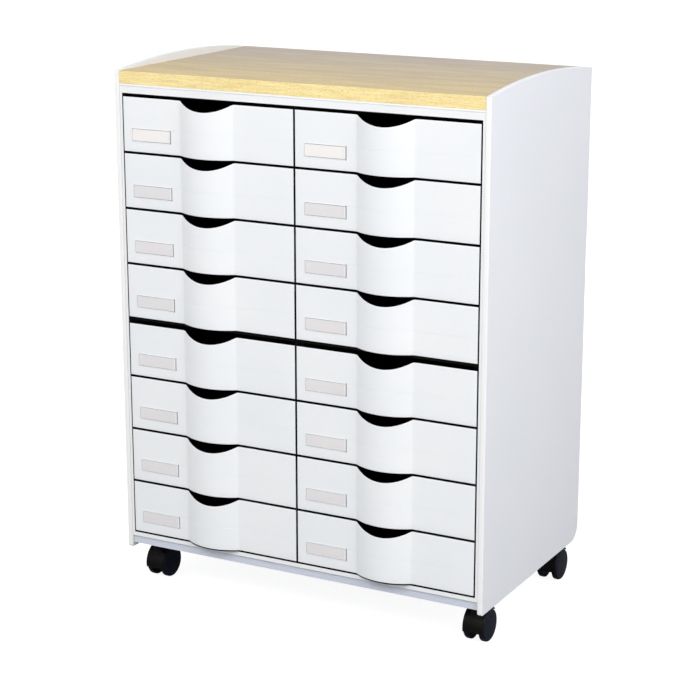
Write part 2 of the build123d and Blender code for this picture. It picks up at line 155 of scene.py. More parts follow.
# %% Floor
floor_half = 60.0
floor_mesh = bpy.data.meshes.new("studio_floor")
floor_mesh.from_pydata(
    [(-floor_half, -floor_half, 0), (floor_half, -floor_half, 0),
     (floor_half, floor_half, 0), (-floor_half, floor_half, 0)],
    [],
    [(0, 1, 2, 3)],
)
floor = bpy.data.objects.new("studio_floor", floor_mesh)
scene.collection.objects.link(floor)
floor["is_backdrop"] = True

floor_glow = 0.88
floor_material = bpy.data.materials.new("studio_floor")
floor_material.use_nodes = True
floor_tree = floor_material.node_tree
floor_shader = floor_tree.nodes["Principled BSDF"]
floor_shader.inputs["Base Color"].default_value = (0.32, 0.32, 0.32, 1)
floor_shader.inputs["Roughness"].default_value = 0.9
floor_shader.inputs["Specular IOR Level"].default_value = 0.0
floor_shader.inputs["Emission Color"].default_value = (1, 1, 1, 1)
seen = floor_tree.nodes.new("ShaderNodeLightPath")
glow = floor_tree.nodes.new("ShaderNodeMapRange")
glow.inputs["To Min"].default_value = 0.0
glow.inputs["To Max"].default_value = floor_glow
floor_tree.links.new(seen.outputs["Is Camera Ray"], glow.inputs["Value"])
floor_tree.links.new(glow.outputs["Result"], floor_shader.inputs["Emission Strength"])
floor_mesh.materials.append(floor_material)
print("floor half width", floor_half, "m")

# %% [markdown]
# A material in Blender is a small graph of nodes. These helpers add a node and set or join its
# inputs by name, spread a range of values and mix two colours, so that each finish below reads as a
# short recipe. Effects that several finishes share are node groups. A group puts out only a value,
# a colour or a mask, and each material keeps its own shader.

# %% Node helpers


def set_inputs(tree, node, links):
    """Join a node's inputs to other sockets, or set them where a plain value is given."""
    for socket, source in links.items():
        if hasattr(source, "is_output"):
            tree.links.new(source, node.inputs[socket])
        else:
            node.inputs[socket].default_value = source
    return node


def add_node(tree, kind, links, **values):
    """A new node with its settings, and its inputs set or joined by name."""
    node = tree.nodes.new(kind)
    for name, value in values.items():
        setattr(node, name, value)
    return set_inputs(tree, node, links)


def spread(tree, value, low, high, least=0.0, most=1.0):
    """A value's range from low to high, spread to run from a least to a greatest value."""
    return add_node(tree, "ShaderNodeMapRange", {
        "Value": value, "From Min": low, "From Max": high, "To Min": least, "To Max": most,
    }).outputs["Result"]


def mixed(tree, factor, first, second):
    """A colour between two, by a factor."""
    links = {"Factor": factor, "A": first, "B": second}
    return add_node(tree, "ShaderNodeMix", links, data_type="RGBA").outputs[2]


def new_group(name, inputs, outputs):
    """An empty node group with typed inputs (with their defaults) and outputs."""
    tree = bpy.data.node_groups.new(name, "ShaderNodeTree")
    for label, (kind, default) in inputs.items():
        socket = tree.interface.new_socket(label, in_out="INPUT", socket_type=kind)
        if default is not None:
            socket.default_value = default
    for label, kind in outputs.items():
        tree.interface.new_socket(label, in_out="OUTPUT", socket_type=kind)
    return tree, tree.nodes.new("NodeGroupInput"), tree.nodes.new("NodeGroupOutput")


def place_group(tree, group, links):
    """A copy of a node group in a material, with its inputs set."""
    return add_node(tree, "ShaderNodeGroup", links, node_tree=group)


def new_material(name, **constants):
    """A material with its Principled shader's plain inputs set, and its object coordinates."""
    material = bpy.data.materials.new(name)
    material.use_nodes = True
    tree = material.node_tree
    shader = tree.nodes["Principled BSDF"]
    for label, value in constants.items():
        shader.inputs[label.replace("_", " ").title().replace("Ior", "IOR")].default_value = value
    where = tree.nodes.new("ShaderNodeTexCoord").outputs["Object"]
    return material, tree, shader, where


print("node helpers are ready")

# %% [markdown]
# Moulded plastic is never perfectly even. Its colour drifts a little over a hand's width, its gloss
# is patchy where the mould was polished, and a fine spark-eroded texture breaks up the highlight.
# One group holds all three, with the colours and the scales of the patterns as inputs.

# %% Moulded surface group


def moulded_surface():
    """Group: broad colour drift, patchy roughness and a fine texture's bump height."""
    tree, start, end = new_group(
        "moulded_surface",
        {
            "Position": ("NodeSocketVector", None),
            "Colour": ("NodeSocketColor", (0.8, 0.8, 0.8, 1)),
            "Drift Colour": ("NodeSocketColor", (0.7, 0.7, 0.7, 1)),
            "Drift Scale": ("NodeSocketFloat", 6.0),
            "Grain Scale": ("NodeSocketFloat", 2500.0),
            "Low Roughness": ("NodeSocketFloat", 0.3),
            "High Roughness": ("NodeSocketFloat", 0.4),
        },
        {"Colour": "NodeSocketColor", "Roughness": "NodeSocketFloat", "Height": "NodeSocketFloat"},
    )
    drift = add_node(tree, "ShaderNodeTexNoise", {
        "Vector": start.outputs["Position"], "Scale": start.outputs["Drift Scale"],
        "Detail": 3.0, "Roughness": 0.55,
    })
    colour = mixed(tree, spread(tree, drift.outputs["Fac"], 0.35, 0.7), start.outputs["Colour"],
                   start.outputs["Drift Colour"])
    gloss = add_node(tree, "ShaderNodeTexNoise", {
        "Vector": start.outputs["Position"], "Scale": 38.0, "Detail": 4.0, "Roughness": 0.6,
    })
    rough = spread(tree, gloss.outputs["Fac"], 0.3, 0.7,
                   start.outputs["Low Roughness"], start.outputs["High Roughness"])
    grain = add_node(tree, "ShaderNodeTexNoise", {
        "Vector": start.outputs["Position"], "Scale": start.outputs["Grain Scale"],
        "Detail": 2.0, "Roughness": 0.5,
    })
    set_inputs(tree, end, {"Colour": colour, "Roughness": rough, "Height": grain.outputs["Fac"]})
    return tree


moulded_group = moulded_surface()
print("group:", moulded_group.name)

# %% [markdown]
# A board's front edge gets its own brighter colour. On the side panels it is a whiter strip of
# edging. On the wood top it is painted light, because that edge faces the front lamp and is lit far
# more than the top. The boards here all end near the same front plane, so one group tells the strip
# from the rest: it reads the place along Y and gives a mask, which rises within a few tenths of a
# millimetre.

# %% Front edge group
board_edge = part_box("wood_top_board")[0].y
front_edge_start = board_edge + 0.6 * mm
front_edge_full = board_edge + 0.2 * mm


def front_edge():
    """Group: a mask that rises from 0 to 1 between two places along Y."""
    tree, start, end = new_group(
        "front_edge",
        {
            "Position": ("NodeSocketVector", None),
            "Start": ("NodeSocketFloat", front_edge_start),
            "Full": ("NodeSocketFloat", front_edge_full),
        },
        {"Mask": "NodeSocketFloat"},
    )
    place = add_node(tree, "ShaderNodeSeparateXYZ", {"Vector": start.outputs["Position"]})
    mask = spread(tree, place.outputs["Y"], start.outputs["Start"], start.outputs["Full"])
    set_inputs(tree, end, {"Mask": mask})
    return tree


edge_group = front_edge()
print("group:", edge_group.name)

# %% Plastic and coated-board finishes
texture_depth = 0.12 * mm


def moulded_material(name, colour, drift, roughness, grain_scale, bump, drift_scale=6.0,
                     edging=None, **constants):
    """A finish for moulded plastic or coated board, with an edging colour in front if given."""
    material, tree, shader, where = new_material(name, **constants)
    surface = place_group(tree, moulded_group, {
        "Position": where, "Colour": (*colour, 1), "Drift Colour": (*drift, 1),
        "Drift Scale": drift_scale, "Grain Scale": grain_scale,
        "Low Roughness": roughness[0], "High Roughness": roughness[1],
    })
    relief = add_node(tree, "ShaderNodeBump", {
        "Strength": bump, "Distance": texture_depth, "Height": surface.outputs["Height"],
    })
    skin = surface.outputs["Colour"]
    if edging:
        edge = place_group(tree, edge_group, {"Position": where})
        skin = mixed(tree, edge.outputs["Mask"], skin, (*edging, 1))
    set_inputs(tree, shader, {
        "Base Color": skin, "Roughness": surface.outputs["Roughness"],
        "Normal": relief.outputs["Normal"],
    })
    return material


front_plastic = moulded_material(
    "front_plastic", (0.90, 0.91, 0.92), (0.87, 0.885, 0.905), (0.30, 0.38), 2600.0, 0.25)
panel_coating = moulded_material(
    "panel_coating", (0.88, 0.89, 0.935), (0.86, 0.875, 0.92), (0.36, 0.46), 1500.0, 0.35, 3.0,
    edging=(0.95, 0.94, 0.935))
sleeve_coating = moulded_material(
    "sleeve_coating", (0.90, 0.905, 0.91), (0.88, 0.885, 0.895), (0.36, 0.46), 1500.0, 0.3, 3.0)
sleeve_edging = moulded_material(
    "sleeve_edging", (0.955, 0.955, 0.95), (0.94, 0.94, 0.935), (0.36, 0.46), 1500.0, 0.3, 3.0)
base_coating = moulded_material(
    "base_coating", (0.66, 0.70, 0.78), (0.62, 0.66, 0.745), (0.4, 0.5), 1500.0, 0.3, 3.0)
back_coating = moulded_material(
    "back_coating", (0.78, 0.79, 0.80), (0.74, 0.75, 0.77), (0.5, 0.62), 900.0, 0.5, 4.0)
# Black plastic of the housings. On the carriers, housing rims and lining, the same finish is
# painted shade.
black_plastic = moulded_material(
    "black_plastic", (0.004, 0.004, 0.004), (0.006, 0.0055, 0.0055), (0.6, 0.72), 1800.0, 0.5,
    specular_ior_level=0.06)
tray_plastic = moulded_material(
    "tray_plastic", (0.020, 0.020, 0.020), (0.026, 0.025, 0.024), (0.42, 0.54), 1400.0, 0.6,
    specular_ior_level=0.3)
hood_plastic = moulded_material(
    "hood_plastic", (0.004, 0.0035, 0.0035), (0.007, 0.0055, 0.0045), (0.34, 0.46), 1600.0, 0.5,
    30.0, specular_ior_level=0.1)
wheel_plastic = moulded_material(
    "wheel_plastic", (0.004, 0.005, 0.013), (0.007, 0.009, 0.018), (0.34, 0.44), 1600.0, 0.4, 30.0,
    specular_ior_level=0.12)
label_card = moulded_material(
    "label_card", (0.80, 0.767, 0.773), (0.775, 0.747, 0.757), (0.7, 0.8), 3000.0, 0.6, 12.0)
# Painted light: a whiter card colour for the best-lit top row.
painted_light_card = moulded_material(
    "painted_light_card", (0.922, 0.878, 0.849), (0.90, 0.86, 0.836), (0.7, 0.8), 3000.0, 0.6, 12.0)
zinc_plate = moulded_material(
    "zinc_plate", (0.62, 0.63, 0.65), (0.52, 0.54, 0.58), (0.24, 0.36), 1400.0, 0.4, 60.0,
    metallic=1.0)
print("finishes:", len(bpy.data.materials))

# %% [markdown]
# The top board is covered with beech-pattern laminate. Three noises are stretched along X, the way
# the grain runs: broad soft bands, long fine lines, and short dark flecks. The ground drifts from
# straw at the front to a darker, greyer tone at the back: this is painted shade and sheen, not a
# change in the laminate. The front edge has the same pattern on a brighter, yellower ground, which
# is painted light, because that edge faces the front lamp. The laminate is matt, so no lamp leaves
# a white patch on it.

# %% Wood board
# Painted shade and sheen: the back tones are darker and greyer than the front ones. Painted light:
# the edging tones, here and in the lines and flecks below, are brighter and yellower.
wood_tones = {
    "front": ((0.805, 0.625, 0.30, 1), (0.693, 0.543, 0.283, 1)),
    "back": ((0.60, 0.52, 0.46, 1), (0.51, 0.448, 0.42, 1)),
    "edging": ((1.0, 0.84, 0.41, 1), (0.93, 0.76, 0.36, 1)),
}
line_tones = {"board": (0.515, 0.425, 0.27, 1), "edging": (0.76, 0.57, 0.23, 1)}
fleck_tones = {"board": (0.45, 0.347, 0.21, 1), "edging": (0.67, 0.42, 0.13, 1)}
board_front, board_back = -0.18, 0.19


def along_grain(tree, where, along, across, scale, detail, rough=0.5):
    """A noise stretched along X: its place is scaled less along the grain than across it."""
    place = add_node(tree, "ShaderNodeMapping", {"Vector": where, "Scale": (along, across, across)})
    return add_node(tree, "ShaderNodeTexNoise", {
        "Vector": place.outputs["Vector"], "Scale": scale, "Detail": detail, "Roughness": rough,
    }).outputs["Fac"]


def wood_material():
    """Beech-pattern laminate: bands, fine grain and flecks along X, brighter on the front edge."""
    material, tree, shader, where = new_material("wood_laminate")
    bands = along_grain(tree, where, 1.6, 14.0, 4.0, 4.0)
    fine = along_grain(tree, where, 3.0, 60.0, 7.0, 6.0, 0.65)
    fleck = along_grain(tree, where, 110.0, 420.0, 2.6, 2.0)
    edge = place_group(tree, edge_group, {"Position": where}).outputs["Mask"]
    depth = add_node(tree, "ShaderNodeSeparateXYZ", {"Vector": where}).outputs["Y"]
    # Painted shade and sheen: a mask that runs from the front to the back of the board.
    back = spread(tree, depth, board_front, board_back)
    band = spread(tree, bands, 0.39, 0.61)
    front_tone, painted_shade_tone, painted_light_edge_tone = [mixed(tree, band, *pair) for pair in wood_tones.values()]
    # Painted light: the front edge takes the brighter, yellower edging tones.
    tone = mixed(tree, edge, mixed(tree, back, front_tone, painted_shade_tone), painted_light_edge_tone)
    line = mixed(tree, edge, *line_tones.values())
    grained = mixed(tree, spread(tree, fine, 0.42, 0.62, most=0.5), tone, line)
    dark = mixed(tree, edge, *fleck_tones.values())
    flecked = mixed(tree, spread(tree, fleck, 0.56, 0.66, most=0.5), grained, dark)
    relief = add_node(tree, "ShaderNodeBump", {
        "Strength": 0.25, "Distance": 0.1 * mm, "Height": fine,
    })
    set_inputs(tree, shader, {
        "Base Color": flecked, "Roughness": spread(tree, fine, 0.3, 0.7, 0.56, 0.66),
        "Normal": relief.outputs["Normal"],
    })
    return material


wood_laminate = wood_material()
print("wood nodes:", len(wood_laminate.node_tree.nodes))

# %% [markdown]
# Every CAD piece gets its finish by its family name. The wood board, the sleeve, the base, the
# back, the housings, the screws, the caster plates and the axles keep their meshes, because they
# are flat or plain things. Smooth surfaces further on replace the rest in the same finish.

# %% Finish the CAD pieces
finishes = {
    "side_panel": panel_coating,
    "wood_top_board": wood_laminate,
    "carcass_sleeve": sleeve_coating,
    "base_board": base_coating,
    "back_panel": back_coating,
    "flat_head_screws": zinc_plate,
    "caster_plates": zinc_plate,
    "caster_axle": zinc_plate,
    "caster_hood": hood_plastic,
    "housing": black_plastic,
    "drawer_tray": tray_plastic,
    "drawer_front": front_plastic,
    "wheel": wheel_plastic,
}


def dress(node, material):
    """Give one material to a CAD node's object."""
    node.data.materials.clear()
    node.data.materials.append(material)


for name, node in nodes.items():
    family = next(key for key in finishes if name.startswith(key))
    dress(node, finishes[family])
print("dressed nodes:", len(nodes))

# %% [markdown]
# New pieces are computed as grids of points. A closed sheet is two grids, a near one and a far one,
# sewn together along their four borders. The helpers below build the faces as whole arrays.

# %% Mesh helpers


def quads(a, b, c, d):
    """Faces from four arrays of corner numbers, one face for each place in the arrays."""
    return np.stack([a.ravel(), b.ravel(), c.ravel(), d.ravel()], axis=1)


def closed_sheet(near, far):
    """Points and faces of a closed shell between two grids of the same size."""
    rows, columns = near.shape[:2]
    points = np.concatenate([near.reshape(-1, 3), far.reshape(-1, 3)])
    f = np.arange(rows * columns).reshape(rows, columns)
    b = f + rows * columns
    faces = np.concatenate([
        quads(f[:-1, :-1], f[:-1, 1:], f[1:, 1:], f[1:, :-1]),
        quads(b[1:, :-1], b[1:, 1:], b[:-1, 1:], b[:-1, :-1]),
        quads(f[0, :-1], b[0, :-1], b[0, 1:], f[0, 1:]),
        quads(f[-1, 1:], b[-1, 1:], b[-1, :-1], f[-1, :-1]),
        quads(f[1:, 0], b[1:, 0], b[:-1, 0], f[:-1, 0]),
        quads(f[:-1, -1], b[:-1, -1], b[1:, -1], f[1:, -1]),
    ])
    return points, faces


def joined(*shells):
    """Several shells of points and faces as one."""
    points, faces, start = [], [], 0
    for shell_points, shell_faces in shells:
        points.append(shell_points)
        faces.append(shell_faces + start)
        start += len(shell_points)
    return np.concatenate(points), np.concatenate(faces)


def new_piece(name, shell, material, body, sharp_angle=35):
    """A mesh object from a shell, riding on a body, smooth except at sharp edges and flat ends."""
    points, faces, *caps = shell
    flat_ends = [end.tolist() for end in caps[0]] if caps else []
    mesh = bpy.data.meshes.new(name)
    mesh.from_pydata(points.tolist(), [], faces.tolist() + flat_ends)
    mesh.polygons.foreach_set("use_smooth", np.arange(len(mesh.polygons)) < len(faces))
    mesh.set_sharp_from_angle(angle=math.radians(sharp_angle))
    mesh.materials.append(material)
    piece = bpy.data.objects.new(name, mesh)
    scene.collection.objects.link(piece)
    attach(piece, body)
    return piece


print("mesh helpers are ready")

# %% [markdown]
# Many pieces here are one outline with a profile carried round it: a board with rounded edges, a
# wheel, a frame, a bin. The outline is a ring of points. Each point of the profile sets the whole
# ring in by some distance and puts it at some level, so the rings stack up into the piece's skin.

# %% Outlines and carried profiles


def arc(centre, radius, start, end, count):
    """Points on a circle's arc from one angle to another, in degrees."""
    angle = np.radians(np.linspace(start, end, count))
    return np.stack([
        centre[0] + radius * np.cos(angle), centre[1] + radius * np.sin(angle)], axis=1)


def circle(radius, count):
    """A full ring of points, counterclockwise."""
    return arc((0, 0), radius, 0, 360, count + 1)[:-1]


def rounded_rectangle(low, high, radius, count=6):
    """A counterclockwise ring with its four corners rounded off."""
    left, foot = low[0] + radius, low[1] + radius
    right, top = high[0] - radius, high[1] - radius
    return np.concatenate([
        arc((right, foot), radius, -90, 0, count),
        arc((right, top), radius, 0, 90, count),
        arc((left, top), radius, 90, 180, count),
        arc((left, foot), radius, 180, 270, count),
    ])


def inward(ring):
    """For each point of a counterclockwise ring, the way in, long enough to keep mitred corners."""
    ahead = np.roll(ring, -1, axis=0) - ring
    ahead /= np.linalg.norm(ahead, axis=1, keepdims=True)
    normal_ahead = np.stack([-ahead[:, 1], ahead[:, 0]], axis=1)
    normal_behind = np.roll(normal_ahead, 1, axis=0)
    lean = 1 + np.sum(normal_ahead * normal_behind, axis=1, keepdims=True)
    return (normal_ahead + normal_behind) / lean


def carried(ring, profile, order=(0, 1, 2), closed=False):
    """Rings set in and raised as the profile says, skinned; order gives where u, v and level go."""
    profile = np.asarray(profile)
    rings = ring[None] + profile[:, :1, None] * inward(ring)[None]
    level = np.broadcast_to(profile[:, 1, None], rings.shape[:2])
    points = np.stack([rings[..., 0], rings[..., 1], level], axis=2).reshape(-1, 3)
    points = points[:, np.argsort(order)]
    count = len(ring)
    number = np.arange(len(profile) * count).reshape(len(profile), count)
    if closed:
        number = np.concatenate([number, number[:1]])
    here, above = number[:-1], number[1:]
    faces = quads(here, np.roll(here, -1, axis=1), np.roll(above, -1, axis=1), above)
    caps = () if closed else (number[0][::-1], number[-1])
    return points, faces, caps


x_up = (1, 2, 0)
y_up = (2, 0, 1)
print("outline helpers are ready; x_up puts the level on X, y_up on Y")

# %% [markdown]
# A drawer front is one moulding: two flat wings, a bow in the middle for the fingers, and a notch
# cut in its top edge. Seen from the front it is a grid of x and z, so the whole face is a height
# field: the bow, the rounded rim, the label pocket and the fine line each add their own depth.
# The grid lines crowd together where the shape turns and spread out where it is flat.

# %% Sizes of a drawer front
front_low, front_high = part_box("drawer_front_left_1")
skin_inset = 0.4 * mm
front_half = (front_high.x - front_low.x) / 2 - skin_inset
front_height = front_high.z - front_low.z - 2 * skin_inset
front_thickness = 3.0 * mm
skin_thickness = 1.0 * mm
bow_half = 45.5 * mm
bow_rise = 15.0 * mm
bow_radius = (bow_half**2 + bow_rise**2) / (2 * bow_rise)
notch_depth = 13.0 * mm
notch_radius = (bow_half**2 + notch_depth**2) / (2 * notch_depth)
rim_round = 0.5 * mm
crease_soft = 0.8 * mm
front_face = front_low.y + bow_rise
print("front", round(2 * front_half, 4), "x", round(front_height, 4),
      "face at y", round(front_face, 4))

# %% Shape of a drawer front


def soft_max(a, b, softness):
    """The larger of two values, with the corner between them rounded off."""
    return (a + b + np.sqrt((a - b) ** 2 + softness**2)) / 2


def bulge(x, depth):
    """How far the plan line stands out at x: a circle's cap, offset inwards by a depth."""
    inner = np.sqrt(np.maximum((bow_radius - depth) ** 2 - x**2, 0))
    return soft_max(inner - (bow_radius - bow_rise), -depth, crease_soft) + 0 * x


def top_edge(x):
    """Height of the top edge at x: level, less a circle's cap over the bow."""
    drop = np.sqrt(np.maximum(notch_radius**2 - x**2, 0)) - (notch_radius - notch_depth)
    return front_height - soft_max(drop, 0, crease_soft)


def step(value, edge, width):
    """Rises from 0 to 1 as value passes an edge: 3 t squared less 2 t cubed across the width."""
    t = np.clip((value - edge) / width + 0.5, 0, 1)
    return t * t * (3 - 2 * t)


def band(value, low, high, width):
    """Is 1 between two edges and 0 outside: a rising step times a falling one."""
    return step(value, low, width) * (1 - step(value, high, width))


print("bow radius", round(bow_radius, 4), "notch radius", round(notch_radius, 4))

# %% Label pocket and fine line
pocket_left = -front_half + 14.0 * mm
pocket_right = pocket_left + 68.0 * mm
pocket_foot = 15.2 * mm
pocket_top = pocket_foot + 20.7 * mm
pocket_rim = 1.0 * mm
pocket_rise = 0.5 * mm
groove_width = 0.7 * mm
groove_depth = 0.75 * mm
slot_width = 1.4 * mm
slot_depth = 0.85 * mm
flank = 0.3 * mm
bed_left = pocket_left + pocket_rim + groove_width
bed_foot = pocket_foot + pocket_rim + groove_width
bed_top = pocket_top - pocket_rim - groove_width
line_half = 0.19 * mm
line_flank = 0.1 * mm
line_depth = 0.45 * mm
line_start = pocket_right + 3.0 * mm
line_end = front_half - 12.0 * mm


def relief(x, z):
    """Depth below the plain face: the pocket's rim stands out, its grooves, slot and line go in."""
    outer = band(x, pocket_left, pocket_right, flank) * band(z, pocket_foot, pocket_top, flank)
    inner = step(x, pocket_left + pocket_rim, flank) * band(
        z, pocket_foot + pocket_rim, pocket_top - pocket_rim, flank)
    bed = step(x, bed_left, flank) * band(z, bed_foot, bed_top, flank)
    groove = outer * inner * (1 - bed)
    slot = band(x, pocket_right, pocket_right + slot_width, flank) * band(
        z, pocket_foot, pocket_top, flank)
    line = band(x, line_start, line_end, 2 * mm) * band(
        z, pocket_top - line_half, pocket_top + line_half, line_flank)
    rim = pocket_rise * outer * (1 - inner)
    return groove_depth * groove + slot_depth * slot + line_depth * line - rim


print("pocket", round(pocket_left, 4), "to", round(pocket_right, 4))

# %% [markdown]
# Smooth shading blends the normals of neighbouring faces, so a wide flat face beside a small flank
# would look dented. A guard line just outside each feature keeps the blend in a narrow strip.

# %% Grid lines of a drawer front
guard = 0.3 * mm


def around(edges, reach, count):
    """Grid lines crowded around some edges, with a guard line outside them on either side."""
    offsets = np.linspace(-reach, reach, count)
    offsets = np.concatenate([[-reach - guard], offsets, [reach + guard]])
    return (np.asarray(edges)[:, None] + offsets).ravel()


def front_grid():
    """Columns' places and rim angles, lower rows' places, and the rim's own angles and insets."""
    turn = np.radians(np.linspace(90, 0, 6))
    rim = rim_round * (1 - np.sin(turn))
    columns = np.unique(np.round(np.concatenate([
        np.linspace(-front_half + rim_round, front_half - rim_round, 24),
        np.linspace(-bow_half - 2 * mm, bow_half + 2 * mm, 72),
        around([-bow_half, bow_half], 1.2 * mm, 9),
        around([pocket_left, pocket_left + pocket_rim, bed_left], flank / 2, 3),
        around([pocket_right, pocket_right + slot_width], flank / 2, 3),
        around([line_start, line_end], 1 * mm, 5),
    ]), 6))
    x = np.concatenate([-front_half + rim, columns[1:-1], front_half - rim[::-1]])
    x_turn = np.concatenate([turn, np.zeros(len(columns) - 2), turn[::-1]])
    rows = np.unique(np.round(np.concatenate([
        np.linspace(rim_round, 60 * mm, 8),
        around([pocket_foot, pocket_foot + pocket_rim, bed_foot], flank / 2, 3),
        around([bed_top, pocket_top - pocket_rim, pocket_top], flank / 2, 3),
        around([pocket_top - line_half, pocket_top + line_half], line_flank / 2, 3),
        around([pocket_top], 0.8 * mm, 2),
    ]), 6))
    return x, x_turn, rows, turn, rim


grid_x, grid_x_turn, grid_rows, rim_turn, rim_inset = front_grid()
print("columns", len(grid_x), "rows", len(grid_rows) + 2 * len(rim_inset) + 5)

# %% Drawer front surface
bow_floor_levels = (0.3 * mm, 2.0 * mm)
bow_floor_share = 0.985
bow_floor_columns = 48
tab_half = (6.0 * mm, 1.5 * mm)
tab_end = 5.1 * mm
tab_places = [(x, z) for x in (-100 * mm, 100 * mm) for z in (18 * mm, 50 * mm)]


def block(low, high):
    """The shell of a plain block between two corners."""
    x, z = np.meshgrid([low[0], high[0]], [low[2], high[2]])
    near = np.stack([x, np.full((2, 2), low[1]), z], axis=2)
    far = np.stack([x, np.full((2, 2), high[1]), z], axis=2)
    return closed_sheet(near, far)


def front_shell():
    """The white moulding about its own middle, face and foot.

    The skin's depth is the rim's quarter round, plus the relief, less the bow's bulge. Behind it
    are the level floor of the bow and the tabs.
    """
    top = top_edge(grid_x)
    low_rows = grid_rows[1:, None] + 0 * top
    share = np.linspace(0, 1, 7)[1:-1, None]
    high_rows = grid_rows[-1] + share * (top - rim_round - grid_rows[-1])
    z = np.concatenate([
        rim_inset[:, None] + 0 * top,
        low_rows,
        high_rows,
        top - rim_inset[::-1, None],
    ])
    z_turn = np.concatenate([
        rim_turn, np.zeros(len(low_rows) + len(high_rows)), rim_turn[::-1],
    ])[:, None]
    x = grid_x + 0 * z
    rim_depth = rim_round * (1 - np.cos(grid_x_turn) * np.cos(z_turn))
    y_skin = -bulge(x, 0) + rim_depth + relief(x, z)
    y_back = -bulge(x, skin_thickness)
    skin = np.stack([x, y_skin, z], axis=2)
    back = np.stack([x, y_back, z], axis=2)
    floor_x = np.linspace(-bow_half, bow_half, bow_floor_columns) * bow_floor_share
    floor_bow = -bulge(floor_x, 0.8 * skin_thickness)
    floor_y = np.stack([floor_bow, np.full(bow_floor_columns, front_thickness)])
    floor_x = floor_x + 0 * floor_y
    floor_faces = [
        np.stack([floor_x, floor_y, level + 0 * floor_y], axis=2) for level in bow_floor_levels]
    tabs = [
        block((x - tab_half[0], skin_thickness, z - tab_half[1]),
              (x + tab_half[0], tab_end, z + tab_half[1]))
        for x, z in tab_places
    ]
    return joined(closed_sheet(skin, back), closed_sheet(*floor_faces), *tabs)


front_skin = front_shell()
print("front shell:", len(front_skin[0]), "points,", len(front_skin[1]), "faces")

# %% [markdown]
# The white moulding is thin, and it sits on a black carrier of the same outline, a hair smaller.
# The carrier is painted shade: it makes the lines between the drawers look black right up to the
# white edge, where the white sides of a whole front would lie in shade. Thin ribs of it show at the
# bottom of the slot beside the label and of the two long grooves, as painted shadow lines. The
# carriers of the two lowest drawers reach a little below their fronts, because nothing dark lies
# behind the feet of those bows: this paints the thin dark shadow line along them.

# %% Black carrier behind each front: painted shade
carrier_inset = 0.25 * mm
# A painted shadow line: the two lowest carriers reach this far below their fronts.
shadow_line_foot = -2.2 * mm
carrier_overlap = 0.02 * mm
shadow_rib_depth = 0.55 * mm
shadow_rib_half = 0.35 * mm
groove_shadow_rib_half = 0.13 * mm


def carrier_shell(foot_level):
    """The carrier, painted shade: a sheet between two offsets of the bow, with shadow ribs in the
    slot and grooves.
    """
    columns = np.unique(np.round(np.concatenate([
        np.linspace(-front_half + carrier_inset, front_half - carrier_inset, 12),
        np.linspace(-bow_half - 1 * mm, bow_half + 1 * mm, 48),
    ]), 6))
    top = top_edge(columns) - carrier_inset
    share = np.linspace(0, 1, 5)[:, None]
    z = foot_level + share * (top - foot_level)
    x = columns + 0 * z
    near = np.stack([x, -bulge(x, skin_thickness - carrier_overlap), z], axis=2)
    far = np.stack([x, -bulge(x, front_thickness), z], axis=2)
    slot_middle = pocket_right + slot_width / 2
    groove_middle = pocket_rim + groove_width / 2
    shadow_rib_edges = [
        (slot_middle - shadow_rib_half, pocket_foot + flank, slot_middle + shadow_rib_half, pocket_top - flank)
    ] + [
        (pocket_left + pocket_rim + flank, level - groove_shadow_rib_half,
         pocket_right - flank, level + groove_shadow_rib_half)
        for level in (pocket_foot + groove_middle, pocket_top - groove_middle)
    ]
    shadow_ribs = [block((left, shadow_rib_depth, low), (right, skin_thickness, high))
            for left, low, right, high in shadow_rib_edges]
    return joined(closed_sheet(near, far), *shadow_ribs)


plain_carrier = carrier_shell(carrier_inset)
shadow_line_carrier = carrier_shell(shadow_line_foot)
print("carrier:", len(plain_carrier[1]), "faces")

# %% Place the drawer fronts


def moved(shell, place):
    """A shell carried to its place."""
    points, *rest = shell
    return points + np.array(place), *rest


def front_place(name):
    """Where a drawer's front has the middle of its foot, on the plain face."""
    low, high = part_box(f"drawer_front_{name}")
    return (low.x + high.x) / 2, front_face, low.z + skin_inset


drawer_names = [
    name.removeprefix("drawer_front_") for name in nodes if name.startswith("drawer_front_")]
for name in drawer_names:
    body = f"drawer_{name}"
    skin = moved(front_skin, front_place(name))
    piece = new_piece(f"front_skin_{name}", skin, front_plastic, body)
    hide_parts(f"drawer_front_{name}")
    # The two lowest drawers take the carrier whose foot paints a shadow line under the bow.
    shell = moved(shadow_line_carrier if name.endswith("_8") else plain_carrier, front_place(name))
    carrier = new_piece(f"front_shade_carrier_{name}", shell, black_plastic, body)
print("fronts placed:", len(drawer_names))

# %% [markdown]
# Each pocket holds a blank card between its grooves. It is a thin sheet, and it bows out slightly
# in the middle, as a card does when it is held along its edges. The two top cards are whiter:
# painted light, because the top row is the best lit.

# %% Label cards
card_short = 2.6 * mm
card_width = pocket_right - card_short - bed_left
card_thickness = 0.25 * mm
card_bow = 0.12 * mm
card_out = 0.15 * mm


def card_shell():
    """A card over u and v from 0 to 1, bowed out by a sine in v."""
    u, v = np.meshgrid(np.linspace(0, 1, 13), np.linspace(0, 1, 9))
    x = bed_left + card_width * u
    z = bed_foot + (bed_top - bed_foot) * v
    y = -card_out - card_thickness - card_bow * np.sin(math.pi * v)
    face = np.stack([x, y, z], axis=2)
    back = np.stack([x, y + card_thickness, z], axis=2)
    return closed_sheet(face, back)


card = card_shell()
for name in drawer_names:
    # Painted light: the top row's cards take the whiter colour.
    paper = painted_light_card if name.endswith("_1") else label_card
    piece = new_piece(f"label_card_{name}", moved(card, front_place(name)), paper, f"drawer_{name}")
print("cards placed:", len(drawer_names))

